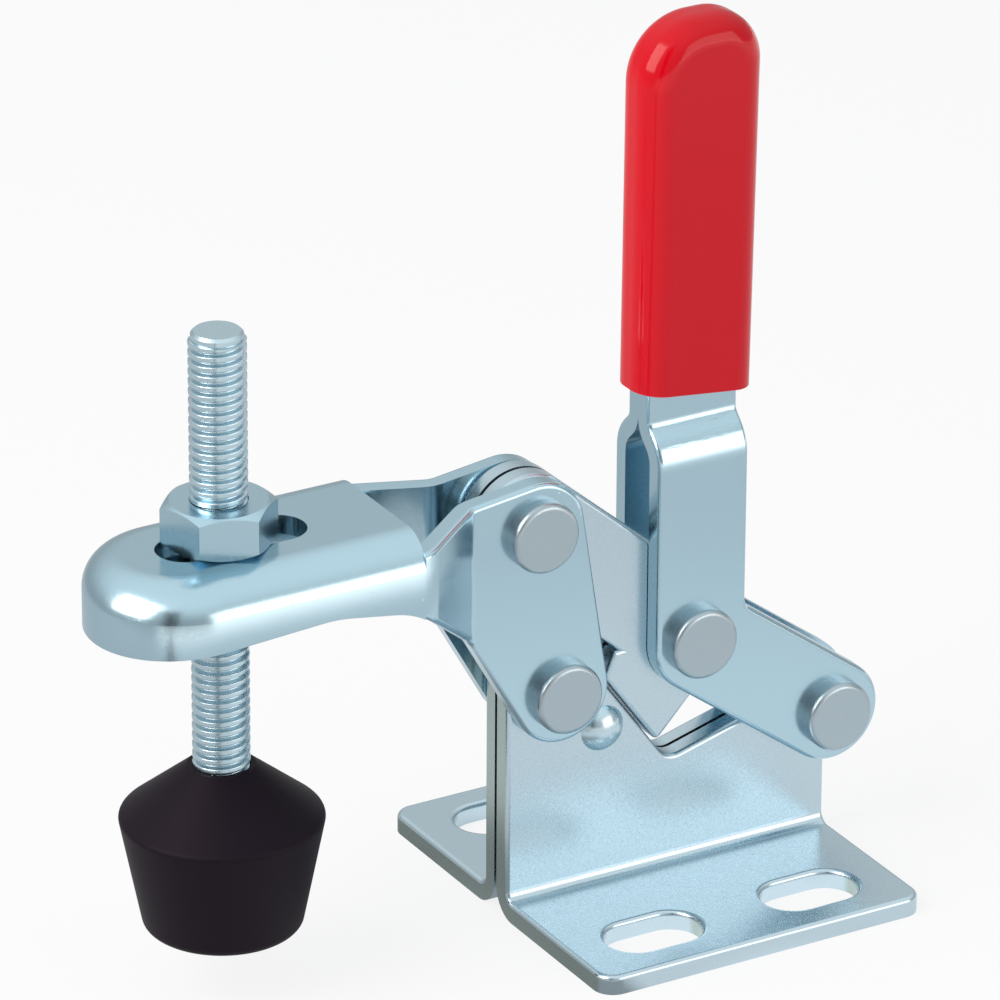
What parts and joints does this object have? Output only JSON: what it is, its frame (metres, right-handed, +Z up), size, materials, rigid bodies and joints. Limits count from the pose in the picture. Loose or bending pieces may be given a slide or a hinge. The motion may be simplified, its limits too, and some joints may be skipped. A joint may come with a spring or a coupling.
{
  "type": "toggle clamp",
  "caption": "Vertical-handle toggle clamp with a flanged base, a channel arm, a threaded spindle with a black rubber cap and a red sleeve on the handle, shown clamped.",
  "frame": {"origin": "centre of the four mounting slots, on the face that the base stands on", "axes": "+Z up along the upright handle, +X from the spindle to the rear of the base, +Y across the clamp, with Y = 0 between the two base webs"},
  "size_m": [0.121, 0.06, 0.1289],
  "materials": {
    "zinc_plate": "satin",
    "ground_steel": "satin",
    "zinc_thread": "satin",
    "black_rubber": "matte",
    "red_vinyl": "gloss"
  },
  "bodies": {
    "base": {"base_bracket_near": "zinc_plate", "base_bracket_far": "zinc_plate", "web_rivet": "zinc_thread", "arm_pivot_pin": "ground_steel", "handle_pivot_pin": "ground_steel"},
    "arm": {"clamp_arm": "zinc_plate", "link_arm_pin": "ground_steel", "spindle_bolt": "zinc_thread", "upper_nut": "zinc_thread", "lower_washer": "zinc_thread", "lower_nut": "zinc_thread", "rubber_cap": "black_rubber"},
    "link": {"link_plate_near": "zinc_plate", "link_plate_far": "zinc_plate"},
    "handle": {"handle_plate_near": "zinc_plate", "handle_plate_far": "zinc_plate", "handle_grip": "red_vinyl", "link_handle_pin": "ground_steel"}
  },
  "joints": [
    {"name": "handle_swing", "type": "hinge", "parent": "base", "child": "handle", "pos_m": [0.0254, 0, 0.0211], "axis": [0, 1, 0], "range_deg": [0, 80]},
    {"name": "arm_swing", "type": "hinge", "parent": "base", "child": "arm", "pos_m": [-0.0188, 0, 0.0344], "axis": [0, 1, 0], "range_deg": [0, 70.5]},
    {"name": "link_swing", "type": "hinge", "parent": "handle", "child": "link", "pos_m": [0.0029, 0, 0.0377], "axis": [0, 1, 0], "range_deg": [-120, 0]}
  ],
  "couplings": [
    {"joint": "arm_swing", "follows": "handle_swing", "ratio": 0.88},
    {"joint": "link_swing", "follows": "handle_swing", "ratio": -1.5}
  ]
}
